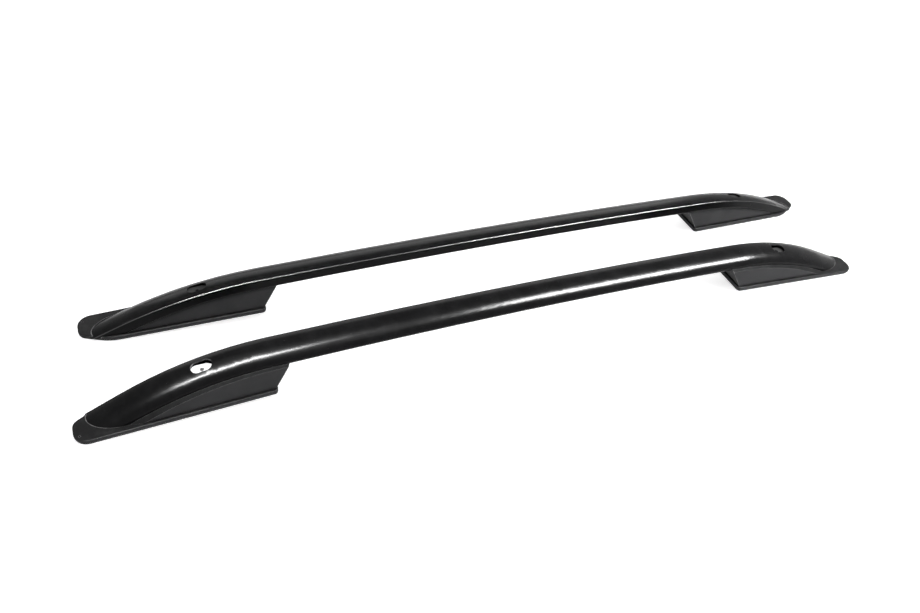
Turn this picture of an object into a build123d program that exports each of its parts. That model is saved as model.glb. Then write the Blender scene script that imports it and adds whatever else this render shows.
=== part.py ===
from build123d import *
import os
from math import asin, cos, degrees, radians, sin, sqrt, tan

# A pair of mirrored roof side rails, each an oval tube on two moulded feet.
# Millimetres. X runs along the rails, Y across the car, Z up from the floor the rails stand on.
# One rail is modelled with its feet's nose tips on Z = 0, its middle at X = 0 and the car's middle
# towards +Y. Only its rear end is drawn. The front end and the other rail are mirror images.

# The pair
overall_length = 1300.0
rail_spacing = 170.0
lengthwise_offset = 10.5

# The arch that the tube follows, in a plane that leans towards the car's middle
arch_lean = 8.7
arch_height = 66.5
middle_radius = 12000.0
bend_from_end = 255.0
bend_radius = 500.0
end_slope = 24.3
spare_length = 80.0

# The tube's section: a turned oval with a flat on the side towards the car's middle
oval_half_width = 24.2
oval_half_height = 11.9
flat_distance = 19.8
section_turn = 20.1
tube_wall = 2.0
flat_top_radius = 1.2
flat_bottom_radius = 3.5
tube_end_height = 5.5

# The access hole in the top of the tube, and the fixing bolt that stands under it
bolt_from_end = 170.0
bolt_inward = 7.5
bolt_radius = 3.0
access_length = 28.0
access_width = 17.0

# The foot in plan, from its nose tip backwards
foot_length = 261.0
foot_tilt = 3.0
outer_edge_at_nose = 32.0
outer_edge_at_heel = 28.5
inner_edge_at_heel = 36.6
front_edge_inner_end = 4.0
cheek_length = 40.0
cheek_reach = 25.0
outer_nose_radius = 19.0
inner_nose_radius = 13.0
cheek_radius = 70.0
heel_corner_radius = 6.0

# The foot's height and walls
flange_thickness = 5.0
flange_edge_radius = 1.2
ledge_width = 3.0
wall_draft = 11.0
heel_rake = 35.0
heel_setback = 2.5
groove_height = 1.0
groove_depth = 1.5
groove_stop = 14.0
foot_wall = 3.0
cradle_wall = 3.0
rib_thickness = 2.2
ribs_from_end = (245.0, 203.0, 137.0, 92.0)
drain_mark_radius = 1.1
drain_mark_depth = 2.0
drain_mark_setback = 8.0
drain_mark_outward = 21.0

# The shoulders beside the tube, in the axes of its oval
outer_lip_reach = 25.2
outer_lip_drop = 0.3
outer_shoulder_slope = 32.0
inner_lip_reach = 21.4
inner_lip_drop = 6.0
inner_shoulder_slope = 51.0
shoulder_run = 80.0

# The seal, the sleeve, the seat and the screws
seal_thickness = 2.5
seal_inset = 0.8
seal_width = 6.5
sleeve_wall = 3.2
sleeve_boss_wall = 2.8
seat_length = 31.0
seat_width = 19.0
seat_rise = 4.5
screws_from_end = (225.0, 115.0)
screw_radius = 2.1
screw_head_radius = 4.0
screw_head_height = 2.6
screw_grip = 6.0
screw_reach = 2.5
screw_boss_radius = 5.2

# Clearances
tube_gap = 0.3
bearing_gap = 0.1
bolt_gap = 0.3
sleeve_gap = 0.15
screw_gap = 0.2
thread_gap = 0.05

half_length = overall_length / 2
bend_start = half_length - bend_from_end
bolt_from_middle = half_length - bolt_from_end
screw_positions = [half_length - distance for distance in screws_from_end]
rib_positions = [half_length - distance for distance in ribs_from_end]
body_height = arch_height
lean = radians(arch_lean)
tilt = radians(foot_tilt)


def arch_drop(x):
    """How far the tube's centre line has fallen below its top at X, in the plane of the arch."""
    first_angle = asin(bend_start / middle_radius)
    bend_centre = bend_start - bend_radius * sin(first_angle)
    bend_end = bend_centre + bend_radius * sin(radians(end_slope))
    drop = middle_radius - sqrt(middle_radius**2 - min(x, bend_start) ** 2)
    along = min(max(x, bend_start), bend_end) - bend_centre
    drop += bend_radius * cos(first_angle) - sqrt(bend_radius**2 - along**2)
    return drop + tan(radians(end_slope)) * max(x - bend_end, 0)


def arch_wire():
    """The centre line: one long arc, a bend at each end and a straight that runs out past the foot."""
    first_angle = asin(bend_start / middle_radius)
    level = arch_height - arch_drop(bend_start)
    turn = end_slope - degrees(first_angle)
    arch_plane = Plane(origin=(0, 0, 0), x_dir=(1, 0, 0), z_dir=(0, -cos(lean), sin(lean)))
    with BuildLine(arch_plane) as line:
        ThreePointArc((-bend_start, level), (0, arch_height), (bend_start, level))
        for way in (-1, 1):
            heading = (way * cos(first_angle), -sin(first_angle))
            bend = JernArc((way * bend_start, level), heading, bend_radius, -way * turn)
            Line(bend @ 1, bend @ 1 + (bend % 1) * spare_length)
    return line.wires()[0]


def section_place(path):
    """The place of the section at the start of a path, along the oval's own axes."""
    square_to_path = Plane(origin=path @ 0, x_dir=(0, cos(lean), -sin(lean)), z_dir=path % 0)
    return square_to_path.location * Rot(Z=section_turn)


def oval(growth, rounded=True):
    """The tube's section grown all round, cut off by the flat and with its two edges rounded."""
    flat = flat_distance + growth
    beyond_flat = Pos(flat + oval_half_width, 0) * Rectangle(2 * oval_half_width, 4 * oval_half_height)
    section = Sketch() + (Ellipse(oval_half_width + growth, oval_half_height + growth) - beyond_flat)
    if rounded:
        section = fillet(flat_ends(section, flat)[-1:], flat_top_radius)
        section = fillet(flat_ends(section, flat)[:1], flat_bottom_radius)
    return section


def flat_ends(section, flat):
    """The ends of the section's flat, lowest first."""
    near = tube_wall / 10
    return section.vertices().filter_by_position(Axis.X, flat - near, flat + near).sort_by(Axis.Y)


def above_shoulders(sink):
    """The space over the foot's two sloping shoulders, in the oval's axes, lowered by some distance."""
    outer = radians(outer_shoulder_slope)
    inner = radians(inner_shoulder_slope)
    outer_lip = (-outer_lip_reach, -outer_lip_drop - sink / cos(outer))
    inner_lip = (inner_lip_reach, -inner_lip_drop - sink / cos(inner))
    outer_foot = (outer_lip[0] - shoulder_run * cos(outer), outer_lip[1] - shoulder_run * sin(outer))
    inner_foot = (inner_lip[0] + shoulder_run * cos(inner), inner_lip[1] - shoulder_run * sin(inner))
    top = shoulder_run
    corners = [outer_foot, outer_lip, (0, outer_lip[1]), (0, inner_lip[1]), inner_lip, inner_foot]
    corners += [(inner_foot[0], top), (outer_foot[0], top)]
    return make_face(Polyline(*corners, close=True))


def swept(section, path):
    """A flat section in the oval's axes, carried along the centre line."""
    return sweep(section_place(path) * section, path=path)


def rear_half(path):
    """The part of the centre line that the foot's surfaces follow, with some to spare past the heel."""
    start = half_length - foot_length - spare_length
    return path.trim(0.5 + start / path.length, 1.0)


def foot_plane():
    """The plane of the foot's underside: origin under the nose tip, X towards the nose, Z up."""
    towards_nose = (cos(tilt), 0, -sin(tilt))
    return Plane(origin=(half_length, 0, 0), x_dir=towards_nose, z_dir=(sin(tilt), 0, cos(tilt)))


def foot_x(x):
    """Where a place along the rail lies in the foot's own axes."""
    return (x - half_length) / cos(tilt)


def outline(inset, past_heel=0.0):
    """The foot's outline in plan, drawn in by some distance and run on past the heel if asked."""
    outer_slope = (outer_edge_at_nose - outer_edge_at_heel) / foot_length
    inner_slope = (inner_edge_at_heel - cheek_reach) / (foot_length - cheek_length)
    back = -foot_length - past_heel
    corners = [
        (back, -outer_edge_at_heel + outer_slope * past_heel),
        (0, -outer_edge_at_nose),
        (0, front_edge_inner_end),
        (-cheek_length, cheek_reach),
        (back, inner_edge_at_heel + inner_slope * past_heel),
    ]
    face = Sketch() + make_face(Polyline(*corners, close=True))
    radii = [
        (corners[1], outer_nose_radius),
        (corners[2], inner_nose_radius),
        (corners[3], cheek_radius),
        (corners[0], heel_corner_radius),
        (corners[4], heel_corner_radius),
    ]
    for corner, radius in radii:
        face = fillet(face.vertices().sort_by_distance((*corner, 0))[:1], radius)
    return offset(face, amount=-inset) if inset else face


def above(height):
    """Everything over a height above the foot's underside, in the foot's own axes."""
    size = 4 * foot_length
    return Pos(-foot_length / 2, 0, height + size / 2) * Box(size, size, size)


def in_front_of_heel(shift):
    """The space on the nose's side of the raked heel face, in the foot's own axes."""
    size = 4 * foot_length
    foot_of_face = Pos(-foot_length + heel_setback + shift, 0, seal_thickness + flange_thickness)
    return foot_of_face * Rot(Y=-heel_rake) * Pos(size / 2, 0, 0) * Box(size, size, size)


def bolt_place(height=0.0):
    """The fixing bolt's line, square to the foot's underside, in the foot's own axes."""
    return Pos(foot_x(bolt_from_middle), bolt_inward, height)


def screw_place(x):
    """The line of a screw into the tube from below: origin on the centre line, Z up through the tube."""
    height = arch_height - arch_drop(x)
    slope = asin((x - bend_start + bend_radius * bend_start / middle_radius) / bend_radius)
    square_to_path = Plane(
        origin=(x, height * sin(lean), height * cos(lean)),
        x_dir=(cos(slope), -sin(slope) * sin(lean), -sin(slope) * cos(lean)),
        z_dir=(sin(slope), cos(slope) * sin(lean), cos(slope) * cos(lean)),
    )
    return square_to_path.location * Rot(X=section_turn)


def build_tube(path):
    """The tube with its ends cut level with the feet, its access holes and its bolt and screw holes."""
    tube = swept(oval(0), path) - swept(oval(-tube_wall, rounded=False), path)
    reach = access_length + access_width
    slot = extrude(SlotOverall(access_length, access_width), reach)
    cutters = []
    for end in (1, -1):
        feet = [foot_plane() * solid for solid in end_cutters(slot)]
        feet += [screw_place(x) * screw_hole() for x in screw_positions]
        cutters += feet if end > 0 else [solid.mirror(Plane.YZ) for solid in feet]
    for cutter in cutters:
        tube -= cutter
    return tube


def end_cutters(slot):
    """What is cut from one end of the tube, in the foot's own axes."""
    size = 4 * foot_length
    below = Pos(-foot_length / 2, 0, tube_end_height - size / 2) * Box(foot_length * 2, size, size)
    middle_height = foot_height_of_centre()
    bolt_hole = Cylinder(bolt_radius + bolt_gap, 2 * oval_half_width)
    return [
        below,
        bolt_place(middle_height) * slot,
        bolt_place(middle_height - oval_half_width) * bolt_hole,
    ]


def foot_height_of_centre():
    """The height of the tube's centre line over the foot's underside at the fixing bolt."""
    height = (arch_height - arch_drop(bolt_from_middle)) * cos(lean)
    return (height - (half_length - bolt_from_middle) * tan(tilt)) * cos(tilt)


def screw_hole():
    """The hole that a screw cuts in the tube's lower wall."""
    return Pos(0, 0, -oval_half_height) * Cylinder(screw_radius + thread_gap, 3 * tube_wall)


def build_foot(path):
    """The moulded foot: flange, drafted body under two shoulders, hollow below, with bosses and ribs."""
    plane = foot_plane()
    rear = rear_half(path)
    base = seal_thickness
    rim = base + flange_thickness
    flange = Pos(0, 0, base) * extrude(outline(0), flange_thickness)
    flange = fillet(flange.edges().group_by(Axis.Z)[-1], flange_edge_radius)
    body = Pos(0, 0, base) * extrude(outline(ledge_width, body_height), body_height, taper=wall_draft)
    body &= in_front_of_heel(0)
    groove_ring = extrude(outline(-ledge_width), groove_height) - extrude(
        outline(ledge_width + groove_depth), groove_height
    )
    groove_ring &= Pos(-foot_length / 2 + groove_stop, 0, 0) * Box(foot_length, foot_length, foot_length)
    body -= Pos(0, 0, rim) * groove_ring
    shell = plane * body - swept(above_shoulders(0), rear)
    shell += plane * flange
    inside = extrude(outline(ledge_width + foot_wall, body_height), body_height, taper=wall_draft)
    inside &= in_front_of_heel(foot_wall / cos(radians(heel_rake)))
    inside = plane * inside
    hollow = inside - swept(above_shoulders(foot_wall), rear) - swept(oval(tube_gap + cradle_wall), rear)
    stiffeners = plane * (bolt_place() * extrude(Circle(sleeve_outer() + sleeve_boss_wall), body_height))
    rib = Box(rib_thickness, foot_length, body_height)
    for x in rib_positions:
        stiffeners += plane * (Pos(foot_x(x), 0, body_height / 2) * rib)
    boss_height = screw_grip + cradle_wall
    boss = Cylinder(screw_boss_radius, boss_height)
    boss = Pos(0, 0, -oval_half_height - tube_gap - boss_height / 2) * boss
    for x in screw_positions:
        stiffeners += screw_place(x) * boss
    stiffeners &= plane * above(base)
    foot = shell - (hollow - stiffeners)
    foot -= swept(oval(tube_gap), rear) & (plane * above(tube_end_height - tube_gap))
    foot -= plane * (bolt_place(body_height / 2) * Cylinder(sleeve_outer() + sleeve_gap, 2 * body_height))
    for x in screw_positions:
        foot -= screw_place(x) * screw_clearance()
    mark = Cylinder(drain_mark_radius, 2 * drain_mark_depth)
    mark = Pos(-drain_mark_setback, -drain_mark_outward, rim) * mark
    foot -= plane * mark
    return foot


def sleeve_outer():
    """The outer radius of the sleeve around the fixing bolt."""
    return bolt_radius + bolt_gap + sleeve_wall


def screw_clearance():
    """The hole in a screw boss, open below for the screw's head."""
    seat = -oval_half_height - tube_gap - screw_grip
    shank = Pos(0, 0, seat) * Cylinder(screw_radius + screw_gap, 3 * screw_grip)
    head = Pos(0, 0, seat - body_height / 2) * Cylinder(screw_head_radius + 2 * screw_gap, body_height)
    return shank + head


def build_screw(x):
    """A pan head screw with a hexagonal recess, out of sight under the foot."""
    seat = -oval_half_height - tube_gap - screw_grip
    length = screw_grip + tube_gap + tube_wall + screw_reach
    shank = extrude(Circle(screw_radius), length)
    head = Pos(0, 0, -screw_head_height / 2) * Cylinder(screw_head_radius, screw_head_height)
    head = fillet(head.edges().group_by(Axis.Z)[0], screw_head_height / 3)
    recess = Pos(0, 0, -screw_head_height) * extrude(RegularPolygon(screw_radius, 6), screw_head_height / 2)
    return screw_place(x) * (Pos(0, 0, seat) * (shank + head - recess))


def build_seal():
    """The flat rubber seal below the flange."""
    ring = outline(seal_inset) - outline(seal_inset + seal_width)
    return foot_plane() * extrude(ring, seal_thickness)


def build_sleeve(path):
    """The steel sleeve that carries the bolt's load, its top cut to the tube's underside."""
    tall = foot_height_of_centre() - seal_thickness
    ring = Circle(sleeve_outer()) - Circle(bolt_radius + bolt_gap)
    sleeve = foot_plane() * (bolt_place(seal_thickness) * extrude(ring, tall))
    return sleeve - swept(oval(bearing_gap), rear_half(path))


def build_seat(path):
    """The bolt's seat inside the tube: rounded below to lie in the oval, flat on top, with a bolt hole."""
    middle_height = foot_height_of_centre()
    depth = seat_rise + oval_half_width
    block = extrude(SlotOverall(seat_length, seat_width) - Circle(bolt_radius + bolt_gap), depth)
    seat = foot_plane() * (bolt_place(middle_height + seat_rise - depth) * block)
    return seat & swept(oval(-tube_wall - bearing_gap, rounded=False), rear_half(path))


def save(name, part):
    """Write one node as a STEP file."""
    part.label = name
    export_step(part, f"parts/{name}.step")


def main():
    """Build one rail's rear end, mirror it to the front, mirror the rail to the other side, write all."""
    path = arch_wire()
    nodes = {"tube": build_tube(path)}
    rear_end = {
        "foot": build_foot(path),
        "seal": build_seal(),
        "sleeve": build_sleeve(path),
        "seat": build_seat(path),
        "inner_screw": build_screw(screw_positions[0]),
        "outer_screw": build_screw(screw_positions[1]),
    }
    for name, part in rear_end.items():
        nodes[f"rear_{name}"] = part
        nodes[f"front_{name}"] = part.mirror(Plane.YZ)
    os.makedirs("parts", exist_ok=True)
    for name, part in nodes.items():
        save(f"left_{name}", Pos(-lengthwise_offset, -rail_spacing / 2, 0) * part)
        save(f"right_{name}", Pos(lengthwise_offset, rail_spacing / 2, 0) * part.mirror(Plane.XZ))


if __name__ == "__main__":
    main()
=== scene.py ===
import math

import bpy
from mathutils import Matrix, Vector

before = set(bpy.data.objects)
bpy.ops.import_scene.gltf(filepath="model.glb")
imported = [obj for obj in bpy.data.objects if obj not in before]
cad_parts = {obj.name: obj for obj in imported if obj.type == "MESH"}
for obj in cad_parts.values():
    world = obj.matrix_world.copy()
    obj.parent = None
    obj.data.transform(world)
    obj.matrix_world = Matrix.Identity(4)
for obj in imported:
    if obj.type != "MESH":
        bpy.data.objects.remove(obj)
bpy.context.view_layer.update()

bl_info = {
    "name": "Roof side rail pair",
    "version": (1, 0, 0),
    "blender": (4, 5, 0),
    "location": "3D View > Sidebar > Rails",
    "description": "Finishes for a pair of arched roof side rails, and a plain studio around them",
    "category": "Object",
}

SIDES = ("left", "right")
ENDS = ("front", "rear")

# Worn edges with painted highlights, and seams with painted shade: lengths in metres, wear from 0
# to 1
TUBE_EDGE_RADIUS = 0.002
TUBE_EDGE_WEAR_AND_HIGHLIGHT = 0.25
TUBE_SEAM_WIDTH = 0.003
FOOT_EDGE_RADIUS = 0.0012
FOOT_EDGE_WEAR_AND_HIGHLIGHT = 0.9
FOOT_SEAM_WIDTH = 0.0055

TUBE_DUST_COLOUR = (0.30, 0.30, 0.31)
FOOT_DUST_COLOUR = (0.28, 0.28, 0.28)
# painted shade: the near-black colour laid into the feet's grooves and seams
SEAM_PAINTED_SHADE_COLOUR = (0.001, 0.001, 0.001)

# The studio, in metres
FLOOR_REACH = 12.0
FLOOR_PAINT = 0.80
STRIP_HEIGHT = 1.7
PICTURE_WIDTH = 920
SENSOR_WIDTH = 36.0


# Shader node helpers

def new_material(name):
    """An empty node material with its Principled shader wired to the output."""
    material = bpy.data.materials.new(name)
    material.use_nodes = True
    tree = material.node_tree
    tree.nodes.clear()
    output = tree.nodes.new("ShaderNodeOutputMaterial")
    shader = tree.nodes.new("ShaderNodeBsdfPrincipled")
    tree.links.new(shader.outputs["BSDF"], output.inputs["Surface"])
    return material, tree, shader


def new_group(name, inputs, outputs):
    """An empty shader node group that takes a Vector and named numbers, and gives numbers."""
    group = bpy.data.node_groups.new(name, "ShaderNodeTree")
    group.interface.new_socket(name="Vector", in_out="INPUT", socket_type="NodeSocketVector")
    for direction, names in (("INPUT", inputs), ("OUTPUT", outputs)):
        for socket_name in names:
            group.interface.new_socket(
                name=socket_name, in_out=direction, socket_type="NodeSocketFloat")
    return group, group.nodes.new("NodeGroupInput"), group.nodes.new("NodeGroupOutput")


def math_node(tree, operation, first, second=None, clamp=False):
    """A Math node fed by sockets or numbers; returns its output socket."""
    node = tree.nodes.new("ShaderNodeMath")
    node.operation = operation
    node.use_clamp = clamp
    for socket, value in zip(node.inputs, (first, second)):
        if value is None:
            continue
        if isinstance(value, (int, float)):
            socket.default_value = value
        else:
            tree.links.new(value, socket)
    return node.outputs[0]


def map_range(tree, value, low, high, to_low, to_high):
    """A Map Range node that clamps; the limits are numbers or sockets."""
    node = tree.nodes.new("ShaderNodeMapRange")
    tree.links.new(value, node.inputs["Value"])
    names = ("From Min", "From Max", "To Min", "To Max")
    for name, limit in zip(names, (low, high, to_low, to_high)):
        if isinstance(limit, (int, float)):
            node.inputs[name].default_value = limit
        else:
            tree.links.new(limit, node.inputs[name])
    return node.outputs["Result"]


def rising(tree, value, low, high):
    """0 under the low limit, 1 over the high one, and an even rise between them."""
    return map_range(tree, value, low, high, 0.0, 1.0)


def falling(tree, value, low, high):
    """1 under the low limit, 0 over the high one, and an even fall between them."""
    return map_range(tree, value, low, high, 1.0, 0.0)


def product(tree, first, *others):
    """The product of sockets and numbers."""
    for other in others:
        first = math_node(tree, "MULTIPLY", first, other)
    return first


def noise(tree, vector, scale, detail, roughness=0.5):
    """The value of a Noise Texture read at a vector; the scale is a number or a socket."""
    node = tree.nodes.new("ShaderNodeTexNoise")
    tree.links.new(vector, node.inputs["Vector"])
    if isinstance(scale, (int, float)):
        node.inputs["Scale"].default_value = scale
    else:
        tree.links.new(scale, node.inputs["Scale"])
    node.inputs["Detail"].default_value = detail
    node.inputs["Roughness"].default_value = roughness
    return node.outputs["Fac"]


def colour_mix(tree, factor, first, second):
    """A Mix Color node; the colours are tuples or sockets, the factor is a socket."""
    node = tree.nodes.new("ShaderNodeMix")
    node.data_type = "RGBA"
    tree.links.new(factor, node.inputs["Factor"])
    first_colour, second_colour = (s for s in node.inputs if s.type == "RGBA")
    for socket, value in ((first_colour, first), (second_colour, second)):
        if isinstance(value, bpy.types.NodeSocket):
            tree.links.new(value, socket)
        else:
            socket.default_value = (*value[:3], 1.0)
    return next(s for s in node.outputs if s.type == "RGBA")


def scaled(colour, factor):
    """A colour made lighter or darker."""
    return [channel * factor for channel in colour]


def object_vector(tree):
    """The Object coordinates, in metres in the row frame."""
    return tree.nodes.new("ShaderNodeTexCoord").outputs["Object"]


def facing(tree):
    """The X, Y and Z sockets of the direction that a face looks in."""
    geometry = tree.nodes.new("ShaderNodeNewGeometry")
    split = tree.nodes.new("ShaderNodeSeparateXYZ")
    tree.links.new(geometry.outputs["Normal"], split.inputs["Vector"])
    return split.outputs


def bump(tree, shader, height, strength, distance):
    """A Bump node from a height socket into the shader's Normal."""
    node = tree.nodes.new("ShaderNodeBump")
    node.inputs["Strength"].default_value = strength
    node.inputs["Distance"].default_value = distance
    tree.links.new(height, node.inputs["Height"])
    tree.links.new(node.outputs["Normal"], shader.inputs["Normal"])


def place_group(tree, group, **values):
    """A group node with its named inputs set to numbers or sockets."""
    node = tree.nodes.new("ShaderNodeGroup")
    node.node_tree = group
    for name, value in values.items():
        socket = node.inputs[name.capitalize()]
        if isinstance(value, (int, float)):
            socket.default_value = value
        else:
            tree.links.new(value, socket)
    return node


# Effects that more than one finish uses

def grain_group():
    """Moulded or sprayed grain: coarse noise and a share of fine noise, with its unevenness."""
    group, given, result = new_group(
        "surface_grain", inputs=("Coarse", "Fine", "Share"), outputs=("Height", "Unevenness"))
    place, share = given.outputs["Vector"], given.outputs["Share"]
    coarse = noise(group, place, given.outputs["Coarse"], detail=2.0)
    fine = noise(group, place, given.outputs["Fine"], detail=3.0, roughness=0.6)
    coarse_part = product(group, coarse, math_node(group, "SUBTRACT", 1.0, share))
    height = math_node(group, "ADD", product(group, fine, share), coarse_part)
    clouds = noise(group, place, scale=26.0, detail=4.0, roughness=0.55)
    group.links.new(height, result.inputs["Height"])
    group.links.new(rising(group, clouds, 0.3, 0.7), result.inputs["Unevenness"])
    return group


def dust_group():
    """Settled dust: a broken film and a sprinkle of small specks on the faces that look up."""
    group, given, result = new_group(
        "settled_dust", inputs=("Amount", "Specks"), outputs=("Mask",))
    place = given.outputs["Vector"]
    facing_up = rising(group, facing(group)["Z"], 0.1, 0.95)
    clouds = noise(group, place, scale=38.0, detail=5.0, roughness=0.65)
    film = product(group, rising(group, clouds, 0.42, 0.72), given.outputs["Amount"])
    cells = group.nodes.new("ShaderNodeTexVoronoi")
    group.links.new(place, cells.inputs["Vector"])
    cells.inputs["Scale"].default_value = 240.0
    dots = falling(group, cells.outputs["Distance"], 0.05, 0.11)
    rare = rising(group, noise(group, place, scale=90.0, detail=1.0), 0.60, 0.70)
    specks = product(group, dots, rare, given.outputs["Specks"])
    dust = math_node(group, "ADD", film, specks, clamp=True)
    group.links.new(product(group, dust, facing_up), result.inputs["Mask"])
    return group


def edge_group():
    """Worn edges with a painted highlight: where a normal rounded over a radius leaves the true
    one, less some noise.
    """
    group, given, result = new_group(
        "worn_and_highlit_edges", inputs=("Radius", "Amount"), outputs=("Mask",))
    rounded = group.nodes.new("ShaderNodeBevel")
    rounded.samples = 6
    group.links.new(given.outputs["Radius"], rounded.inputs["Radius"])
    geometry = group.nodes.new("ShaderNodeNewGeometry")
    agreement = group.nodes.new("ShaderNodeVectorMath")
    agreement.operation = "DOT_PRODUCT"
    group.links.new(rounded.outputs["Normal"], agreement.inputs[0])
    group.links.new(geometry.outputs["Normal"], agreement.inputs[1])
    edge = falling(group, agreement.outputs["Value"], 0.90, 0.99)
    rubbed_and_highlit = noise(group, given.outputs["Vector"], scale=120.0, detail=4.0, roughness=0.6)
    broken = map_range(group, rubbed_and_highlit, 0.35, 0.6, 0.45, 1.0)
    group.links.new(product(group, edge, broken, given.outputs["Amount"]), result.inputs["Mask"])
    return group


GROUPS = {}


def shared(name):
    """A shared effect, built the first time that a finish asks for it."""
    builders = {"grain": grain_group, "dust": dust_group, "edges": edge_group}
    if name not in GROUPS:
        GROUPS[name] = builders[name]()
    return GROUPS[name]


def gloss_in_grain(tree, grain, roughness, spread):
    """Roughness that varies with the grain's height, by a spread to either side of its middle."""
    low, high = roughness - spread, roughness + spread
    return map_range(tree, grain.outputs["Height"], 0.3, 0.7, low, high)


# Places on the pieces that their finishes treat apart

def crevice_mask(tree, width):
    """1 where walls stand closer than a width, as in grooves and seams; on the feet this mask lays
    painted shade into the colour.
    """
    openness = tree.nodes.new("ShaderNodeAmbientOcclusion")
    openness.samples = 8
    openness.inputs["Distance"].default_value = width
    return falling(tree, openness.outputs["AO"], 0.62, 0.97)


def crease_mask(tree, place):
    """1 on the tube's crease: faces turned half up and half towards the other rail at Y = 0."""
    position = tree.nodes.new("ShaderNodeSeparateXYZ")
    tree.links.new(place, position.inputs["Vector"])
    direction = facing(tree)
    side = math_node(tree, "SIGN", position.outputs["Y"])
    turned_in = rising(tree, product(tree, direction["Y"], side, -1.0), 0.2, 0.35)
    over_low = rising(tree, direction["Z"], 0.30, 0.40)
    under_high = falling(tree, direction["Z"], 0.85, 0.90)
    return product(tree, over_low, under_high, turned_in)


def shoulder_mask(tree):
    """1 on the feet's smooth shoulders, 0 on their steep panels and nearly 1 on the flange."""
    upwards = facing(tree)["Z"]
    over_panels = rising(tree, upwards, 0.30, 0.36)
    under_flange = map_range(tree, upwards, 0.86, 0.94, 1.0, 0.95)
    return product(tree, over_panels, under_flange)


# Finishes

def powder_coat(settings):
    """Satin black powder coat: low orange peel, a slightly cloudy gloss, a trace of dust."""
    material, tree, shader = new_material("satin_black_powder_coat")
    place = object_vector(tree)
    grain = place_group(tree, shared("grain"), vector=place, coarse=420.0, fine=1500.0, share=0.35)
    dust = place_group(tree, shared("dust"), vector=place, amount=0.02, specks=0.35)
    edges = place_group(
        tree, shared("edges"), vector=place, radius=TUBE_EDGE_RADIUS, amount=TUBE_EDGE_WEAR_AND_HIGHLIGHT)
    dark, uneven = settings.coat_colour, grain.outputs["Unevenness"]
    tinted = colour_mix(tree, uneven, dark, scaled(dark, 1.25))
    out_of_seams = falling(tree, crevice_mask(tree, TUBE_SEAM_WIDTH), 0.0, 1.0)
    # partly wear, partly painted highlight: the coat's rounded edges and crease are lightened
    worn_and_highlit = product(tree, edges.outputs["Mask"], out_of_seams)
    rubbed_and_highlit = colour_mix(tree, worn_and_highlit, tinted, settings.coat_edge_wear_and_highlight_colour)
    dusted = colour_mix(tree, dust.outputs["Mask"], rubbed_and_highlit, TUBE_DUST_COLOUR)
    tree.links.new(dusted, shader.inputs["Base Color"])
    matt = settings.coat_roughness
    gloss = map_range(tree, uneven, 0.0, 1.0, matt - 0.01, matt + 0.02)
    dusty = product(tree, dust.outputs["Mask"], 0.4)
    tree.links.new(math_node(tree, "ADD", gloss, dusty, clamp=True), shader.inputs["Roughness"])
    shader.inputs["Specular IOR Level"].default_value = settings.coat_specular
    buffed = product(tree, crease_mask(tree, place), settings.crease_shine)
    tree.links.new(buffed, shader.inputs["Coat Weight"])
    shader.inputs["Coat Roughness"].default_value = settings.crease_roughness
    bump(tree, shader, grain.outputs["Height"], strength=0.03, distance=0.0002)
    return material


def moulded_plastic(settings):
    """Dark grey moulded plastic: a faintly cloudy spark-eroded grain with a little dust."""
    material, tree, shader = new_material("grained_grey_plastic")
    place = object_vector(tree)
    grain = place_group(tree, shared("grain"), vector=place, coarse=900.0, fine=2600.0, share=0.6)
    dust = place_group(tree, shared("dust"), vector=place, amount=0.05, specks=0.4)
    edges = place_group(
        tree, shared("edges"), vector=place, radius=FOOT_EDGE_RADIUS, amount=FOOT_EDGE_WEAR_AND_HIGHLIGHT)
    dark = settings.foot_colour
    tinted = colour_mix(tree, grain.outputs["Unevenness"], scaled(dark, 0.9), scaled(dark, 1.15))
    smooth = shoulder_mask(tree)
    tinted = colour_mix(tree, smooth, tinted, settings.shoulder_colour)
    # painted shade: the feet's grooves and seams are darkened nearly to black where walls stand
    # close
    crevice = crevice_mask(tree, FOOT_SEAM_WIDTH)
    seam_painted_shade = colour_mix(tree, crevice, tinted, SEAM_PAINTED_SHADE_COLOUR)
    # partly wear, partly painted highlight: the feet's rims and edges are lightened strongly
    worn_and_highlit = product(tree, edges.outputs["Mask"], falling(tree, crevice, 0.0, 0.5))
    rubbed_and_highlit = colour_mix(tree, worn_and_highlit, seam_painted_shade, settings.foot_edge_wear_and_highlight_colour)
    dusted = colour_mix(tree, dust.outputs["Mask"], rubbed_and_highlit, FOOT_DUST_COLOUR)
    tree.links.new(dusted, shader.inputs["Base Color"])
    gloss = gloss_in_grain(tree, grain, settings.foot_roughness, spread=0.06)
    polished = product(tree, smooth, 0.2)
    tree.links.new(math_node(tree, "SUBTRACT", gloss, polished), shader.inputs["Roughness"])
    shader.inputs["Specular IOR Level"].default_value = settings.foot_specular
    bump(tree, shader, grain.outputs["Height"], strength=0.35, distance=0.0003)
    return material


def seal_rubber(settings):
    """Soft black rubber: matt, with a slightly chalky bloom."""
    material, tree, shader = new_material("black_seal_rubber")
    place = object_vector(tree)
    grain = place_group(tree, shared("grain"), vector=place, coarse=350.0, fine=1400.0, share=0.5)
    fresh, bloomed = (0.010, 0.010, 0.010), (0.022, 0.022, 0.023)
    tinted = colour_mix(tree, grain.outputs["Unevenness"], fresh, bloomed)
    tree.links.new(tinted, shader.inputs["Base Color"])
    gloss = gloss_in_grain(tree, grain, roughness=0.78, spread=0.10)
    tree.links.new(gloss, shader.inputs["Roughness"])
    shader.inputs["Specular IOR Level"].default_value = 0.3
    bump(tree, shader, grain.outputs["Height"], strength=0.3, distance=0.0003)
    return material


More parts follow.
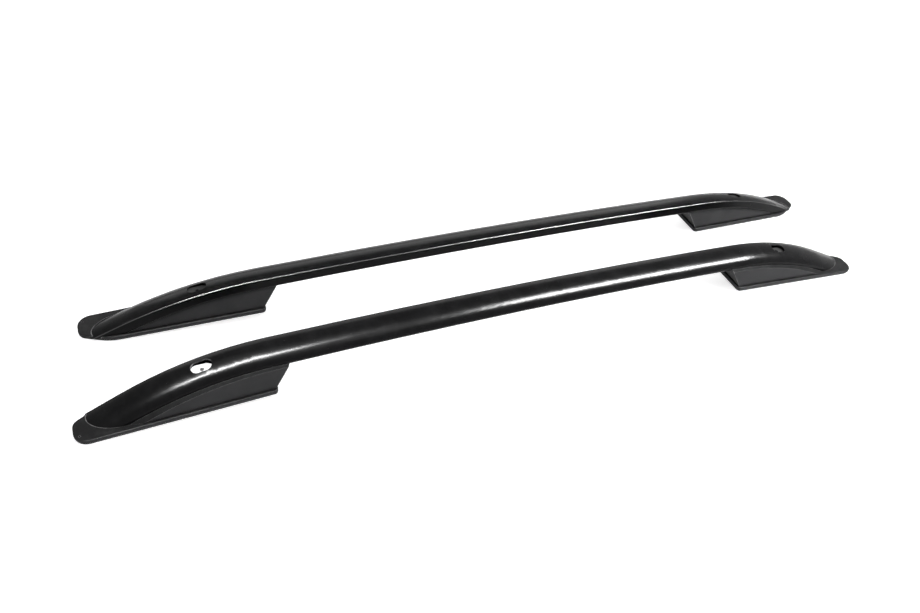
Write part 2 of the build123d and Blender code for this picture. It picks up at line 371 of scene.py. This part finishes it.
def bare_metal(name, colour, roughness, spread):
    """Metal with a faintly mottled gloss, as plating or a cast skin has."""
    material, tree, shader = new_material(name)
    place = object_vector(tree)
    grain = place_group(tree, shared("grain"), vector=place, coarse=600.0, fine=2400.0, share=0.5)
    tinted = colour_mix(tree, grain.outputs["Unevenness"], scaled(colour, 0.86), colour)
    tree.links.new(tinted, shader.inputs["Base Color"])
    shader.inputs["Metallic"].default_value = 1.0
    gloss = gloss_in_grain(tree, grain, roughness, spread)
    tree.links.new(gloss, shader.inputs["Roughness"])
    bump(tree, shader, grain.outputs["Height"], strength=0.15, distance=0.0002)
    return material


def dress(node_names, material):
    """Give CAD nodes a finish; their meshes stay as they are."""
    for name in node_names:
        mesh_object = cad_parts[name]
        if not mesh_object.material_slots:
            mesh_object.data.materials.append(material)
        for slot in mesh_object.material_slots:
            slot.material = material


def end_nodes(*pieces):
    """The names of like pieces at all four ends."""
    return [f"{side}_{end}_{piece}" for side in SIDES for end in ENDS for piece in pieces]


# Settings

class RailFinishSettings(bpy.types.PropertyGroup):
    """Colours and gloss of the rails."""

    coat_colour: bpy.props.FloatVectorProperty(
        name="Coat colour", description="Colour of the powder coat on the tubes",
        subtype="COLOR", size=3, min=0.0, max=1.0, default=(0.004, 0.004, 0.0043))
    # partly wear, partly painted highlight on the coat's rounded edges and crease
    coat_edge_wear_and_highlight_colour: bpy.props.FloatVectorProperty(
        name="Coat edge colour", description="Colour of the coat where its edges are rubbed",
        subtype="COLOR", size=3, min=0.0, max=1.0, default=(0.10, 0.10, 0.105))
    coat_roughness: bpy.props.FloatProperty(
        name="Coat roughness", description="How matt the powder coat is",
        subtype="FACTOR", min=0.0, max=1.0, default=0.19)
    coat_specular: bpy.props.FloatProperty(
        name="Coat specular", description="How strongly the powder coat reflects",
        subtype="FACTOR", min=0.0, max=1.0, default=0.060)
    crease_roughness: bpy.props.FloatProperty(
        name="Crease roughness", description="How matt the buffed coat is along the tube's crease",
        subtype="FACTOR", min=0.0, max=1.0, default=0.25)
    crease_shine: bpy.props.FloatProperty(
        name="Crease shine", description="How strongly the coat is buffed along the tube's crease",
        subtype="FACTOR", min=0.0, max=1.0, default=1.0)
    foot_colour: bpy.props.FloatVectorProperty(
        name="Foot colour", description="Colour of the moulded feet",
        subtype="COLOR", size=3, min=0.0, max=1.0, default=(0.030, 0.030, 0.0312))
    shoulder_colour: bpy.props.FloatVectorProperty(
        name="Shoulder colour", description="Colour of the feet's shoulders beside the tube",
        subtype="COLOR", size=3, min=0.0, max=1.0, default=(0.006, 0.006, 0.0063))
    # partly wear, partly painted highlight on the feet's rims and edges
    foot_edge_wear_and_highlight_colour: bpy.props.FloatVectorProperty(
        name="Foot edge colour", description="Colour of the moulded feet along their rubbed edges",
        subtype="COLOR", size=3, min=0.0, max=1.0, default=(0.22, 0.22, 0.222))
    foot_specular: bpy.props.FloatProperty(
        name="Foot specular", description="How strongly the moulded feet reflect",
        subtype="FACTOR", min=0.0, max=1.0, default=0.06)
    foot_roughness: bpy.props.FloatProperty(
        name="Foot roughness", description="How matt the moulded feet are",
        subtype="FACTOR", min=0.0, max=1.0, default=0.55)


class StudioSettings(bpy.types.PropertyGroup):
    """Floor, lamps and camera."""

    floor_colour: bpy.props.FloatVectorProperty(
        name="Floor colour", description="Colour of the floor and the surroundings",
        subtype="COLOR", size=3, min=0.0, max=1.0, default=(1.0, 1.0, 1.0))
    floor_glow: bpy.props.FloatProperty(
        name="Floor glow", description="The part of the floor's whiteness that is its own glow",
        min=0.0, max=1.0, default=0.72)
    world_strength: bpy.props.FloatProperty(
        name="Room light", description="Strength of the even light from all round",
        min=0.0, max=5.0, default=0.30)
    front_strip_power: bpy.props.FloatProperty(
        name="Front strip", description="Power per metre of the lamp over the rails' front ends",
        unit="POWER", min=0.0, max=2000.0, default=260.0)
    rear_strip_power: bpy.props.FloatProperty(
        name="Rear strip", description="Power per metre of the lamp over the rails' rear ends",
        unit="POWER", min=0.0, max=2000.0, default=420.0)
    key_power: bpy.props.FloatProperty(
        name="Soft key", description="Power of the wide soft lamp that lights everything",
        unit="POWER", min=0.0, max=2000.0, default=25.0)
    back_power: bpy.props.FloatProperty(
        name="Back lamp", description="Power of the wide lamp behind the rails",
        unit="POWER", min=0.0, max=2000.0, default=31.0)
    side_power: bpy.props.FloatProperty(
        name="Side lamp", description="Power of the lamp that fills the rear feet's panels",
        unit="POWER", min=0.0, max=2000.0, default=42.0)
    camera_place: bpy.props.FloatVectorProperty(
        name="Camera place", description="Where the camera stands",
        subtype="TRANSLATION", unit="LENGTH", size=3, default=(-0.5558, -0.8741, 0.8966))
    camera_yaw: bpy.props.FloatProperty(
        name="Camera yaw", description="Heading of the view, from +Y towards +X",
        subtype="ANGLE", default=0.49626)
    camera_pitch: bpy.props.FloatProperty(
        name="Camera pitch", description="How far the view looks down",
        subtype="ANGLE", default=0.73722)
    camera_roll: bpy.props.FloatProperty(
        name="Camera roll", description="Turn of the frame about the view's line",
        subtype="ANGLE", default=0.15058)
    focal_pixels: bpy.props.FloatProperty(
        name="Focal length in pixels", description="Focal length in pixels of the picture's width",
        min=100.0, default=840.27)


# Operators

class RAILS_OT_tubes(bpy.types.Operator):
    """Powder coat both tubes"""

    bl_idname = "rails.tubes"
    bl_label = "Coat the tubes"

    def execute(self, context):
        dress([f"{side}_tube" for side in SIDES], powder_coat(context.scene.rail_finish))
        return {"FINISHED"}


class RAILS_OT_feet(bpy.types.Operator):
    """Give the four moulded feet their grained plastic"""

    bl_idname = "rails.feet"
    bl_label = "Finish the feet"

    def execute(self, context):
        dress(end_nodes("foot"), moulded_plastic(context.scene.rail_finish))
        return {"FINISHED"}


class RAILS_OT_seals(bpy.types.Operator):
    """Give the four base seals their rubber"""

    bl_idname = "rails.seals"
    bl_label = "Finish the seals"

    def execute(self, context):
        dress(end_nodes("seal"), seal_rubber(context.scene.rail_finish))
        return {"FINISHED"}


class RAILS_OT_metalwork(bpy.types.Operator):
    """Finish the bolt seats, sleeves and screws, with painted shade on three seats and a painted
    highlight on the front left one
    """

    bl_idname = "rails.metalwork"
    bl_label = "Finish the metalwork"

    def execute(self, context):
        # painted shade and painted highlight: the four like seats get a dark and a pale copy of
        # one metal, pale only at the front left
        shaded_seat_copy = bare_metal(
            "seat_metal_with_painted_shade", (0.02, 0.02, 0.02), roughness=0.50, spread=0.08)
        highlit_seat_copy = bare_metal(
            "seat_metal_with_painted_highlight", (0.60, 0.60, 0.60), roughness=0.45, spread=0.08)
        zinc = bare_metal(
            "zinc_plated_steel", (0.62, 0.62, 0.61), roughness=0.30, spread=0.06)
        plated = bare_metal(
            "plated_screw_steel", (0.55, 0.55, 0.54), roughness=0.28, spread=0.06)
        dress(end_nodes("seat"), shaded_seat_copy)
        dress(["left_front_seat"], highlit_seat_copy)
        dress(end_nodes("sleeve"), zinc)
        dress(end_nodes("inner_screw", "outer_screw"), plated)
        return {"FINISHED"}


def view_axes(settings):
    """The camera's right, up and backward directions from its yaw, pitch and roll."""
    yaw, pitch, roll = settings.camera_yaw, settings.camera_pitch, settings.camera_roll
    level_reach = math.cos(pitch)
    forward = Vector(
        (math.sin(yaw) * level_reach, math.cos(yaw) * level_reach, -math.sin(pitch)))
    level_right = Vector((math.cos(yaw), -math.sin(yaw), 0.0))
    level_down = forward.cross(level_right)
    right = math.cos(roll) * level_right - math.sin(roll) * level_down
    down = math.sin(roll) * level_right + math.cos(roll) * level_down
    return right, -down, -forward


def add_camera(settings):
    """The camera at the picture's viewing angle."""
    data = bpy.data.cameras.new("camera")
    data.sensor_width = SENSOR_WIDTH
    data.lens = settings.focal_pixels / PICTURE_WIDTH * SENSOR_WIDTH
    data.clip_start = 0.02
    data.clip_end = 60.0
    camera = bpy.data.objects.new("camera", data)
    rotation = Matrix(view_axes(settings)).transposed().to_4x4()
    camera.matrix_world = Matrix.Translation(Vector(settings.camera_place)) @ rotation
    bpy.context.scene.collection.objects.link(camera)
    bpy.context.scene.camera = camera


def add_lamp(name, place, target, size, power):
    """A rectangular soft lamp at a place, aimed at a target."""
    data = bpy.data.lights.new(name, "AREA")
    data.shape = "RECTANGLE"
    data.size, data.size_y = size
    data.energy = power
    lamp = bpy.data.objects.new(name, data)
    lamp.location = place
    lamp.visible_camera = False
    lamp.rotation_euler = (Vector(target) - Vector(place)).to_track_quat("-Z", "Y").to_euler()
    bpy.context.scene.collection.objects.link(lamp)
    return lamp


def add_strip(name, start, end, width, power_per_metre):
    """A narrow lamp over the line between two places in plan, seen only as a highlight."""
    middle = ((start[0] + end[0]) / 2, (start[1] + end[1]) / 2)
    length = math.dist(start, end)
    power = power_per_metre * length
    strip = add_lamp(name, (*middle, STRIP_HEIGHT), (*middle, 0.0), (length, width), power)
    strip.rotation_euler = (0.0, 0.0, math.atan2(end[1] - start[1], end[0] - start[0]))
    strip.visible_diffuse = False


def seen_directly(tree):
    """1 for camera, glossy and transmission rays, 0 for the rays that light the object."""
    path = tree.nodes.new("ShaderNodeLightPath")
    seen = math_node(tree, "ADD", path.outputs["Is Camera Ray"], path.outputs["Is Glossy Ray"])
    return math_node(tree, "ADD", seen, path.outputs["Is Transmission Ray"], clamp=True)


def build_world(settings):
    """A white surround, dimmer for the light that it throws on the object."""
    world = bpy.data.worlds.new("surround")
    world.use_nodes = True
    tree = world.node_tree
    tree.nodes.clear()
    output = tree.nodes.new("ShaderNodeOutputWorld")
    lit = tree.nodes.new("ShaderNodeBackground")
    lit.inputs["Color"].default_value = (*settings.floor_colour, 1.0)
    lit.inputs["Strength"].default_value = settings.world_strength
    flat = tree.nodes.new("ShaderNodeBackground")
    flat.inputs["Color"].default_value = (*settings.floor_colour, 1.0)
    mix = tree.nodes.new("ShaderNodeMixShader")
    tree.links.new(seen_directly(tree), mix.inputs[0])
    tree.links.new(lit.outputs[0], mix.inputs[1])
    tree.links.new(flat.outputs[0], mix.inputs[2])
    tree.links.new(mix.outputs[0], output.inputs["Surface"])
    bpy.context.scene.world = world


def floor_finish(settings):
    """White floor: matt paint that keeps the shadow; the rest of its whiteness is its glow."""
    material, tree, shader = new_material("white_floor")
    shader.inputs["Base Color"].default_value = (*scaled(settings.floor_colour, FLOOR_PAINT), 1.0)
    shader.inputs["Roughness"].default_value = 1.0
    shader.inputs["Specular IOR Level"].default_value = 0.0
    glow = tree.nodes.new("ShaderNodeEmission")
    glow.inputs["Color"].default_value = (*settings.floor_colour, 1.0)
    strength = product(tree, seen_directly(tree), settings.floor_glow)
    tree.links.new(strength, glow.inputs["Strength"])
    add = tree.nodes.new("ShaderNodeAddShader")
    tree.links.new(shader.outputs["BSDF"], add.inputs[0])
    tree.links.new(glow.outputs[0], add.inputs[1])
    output = next(node for node in tree.nodes if node.type == "OUTPUT_MATERIAL")
    tree.links.new(add.outputs[0], output.inputs["Surface"])
    return material


class RAILS_OT_stage(bpy.types.Operator):
    """Lay the floor, hang the lamps and place the camera"""

    bl_idname = "rails.stage"
    bl_label = "Build the studio"

    def execute(self, context):
        settings = context.scene.rail_studio
        context.scene.view_settings.view_transform = "Standard"
        build_world(settings)
        self.lay_floor(context, settings)
        add_strip("front_strip", start=(-1.25, -0.55), end=(-0.17, -0.35), width=0.20,
                  power_per_metre=settings.front_strip_power)
        add_strip("rear_strip", start=(0.64, -0.47), end=(2.05, -0.56), width=0.42,
                  power_per_metre=settings.rear_strip_power)
        add_lamp("soft_key", place=(-0.3, -0.4, 2.2), target=(0.0, 0.0, 0.0), size=(2.5, 1.5),
                 power=settings.key_power)
        add_lamp("back_lamp", place=(0.3, 2.2, 1.15), target=(0.0, 0.0, 0.0), size=(3.5, 1.2),
                 power=settings.back_power)
        side_lamp = add_lamp("side_lamp", place=(1.5, -1.3, 0.8), target=(0.5, 0.0, 0.0),
                             size=(0.8, 0.8), power=settings.side_power)
        side_lamp.visible_glossy = False
        add_camera(settings)
        return {"FINISHED"}

    @staticmethod
    def lay_floor(context, settings):
        """One flat square under the rails."""
        mesh = bpy.data.meshes.new("floor")
        corners = [(-1, -1), (1, -1), (1, 1), (-1, 1)]
        places = [(x * FLOOR_REACH, y * FLOOR_REACH, 0.0) for x, y in corners]
        mesh.from_pydata(places, [], [(0, 1, 2, 3)])
        mesh.materials.append(floor_finish(settings))
        floor = bpy.data.objects.new("floor", mesh)
        context.scene.collection.objects.link(floor)


class RAILS_PT_panel(bpy.types.Panel):
    """Lists the steps and their settings"""

    bl_idname = "RAILS_PT_panel"
    bl_label = "Roof side rails"
    bl_space_type = "VIEW_3D"
    bl_region_type = "UI"
    bl_category = "Rails"

    def draw(self, context):
        layout = self.layout
        for settings in (context.scene.rail_finish, context.scene.rail_studio):
            for name in settings.__annotations__:
                layout.prop(settings, name)
        for operator in OPERATORS:
            layout.operator(operator.bl_idname)


OPERATORS = (RAILS_OT_tubes, RAILS_OT_feet, RAILS_OT_seals, RAILS_OT_metalwork, RAILS_OT_stage)
CLASSES = (RailFinishSettings, StudioSettings, *OPERATORS, RAILS_PT_panel)


def register():
    """Register the classes and hang the settings on the scene."""
    for cls in CLASSES:
        bpy.utils.register_class(cls)
    bpy.types.Scene.rail_finish = bpy.props.PointerProperty(type=RailFinishSettings)
    bpy.types.Scene.rail_studio = bpy.props.PointerProperty(type=StudioSettings)


def unregister():
    """Take the settings off the scene and unregister the classes."""
    del bpy.types.Scene.rail_studio
    del bpy.types.Scene.rail_finish
    for cls in reversed(CLASSES):
        bpy.utils.unregister_class(cls)


def main():
    """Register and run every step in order."""
    register()
    bpy.ops.rails.tubes()
    bpy.ops.rails.feet()
    bpy.ops.rails.seals()
    bpy.ops.rails.metalwork()
    bpy.ops.rails.stage()


if __name__ == "__main__":
    main()
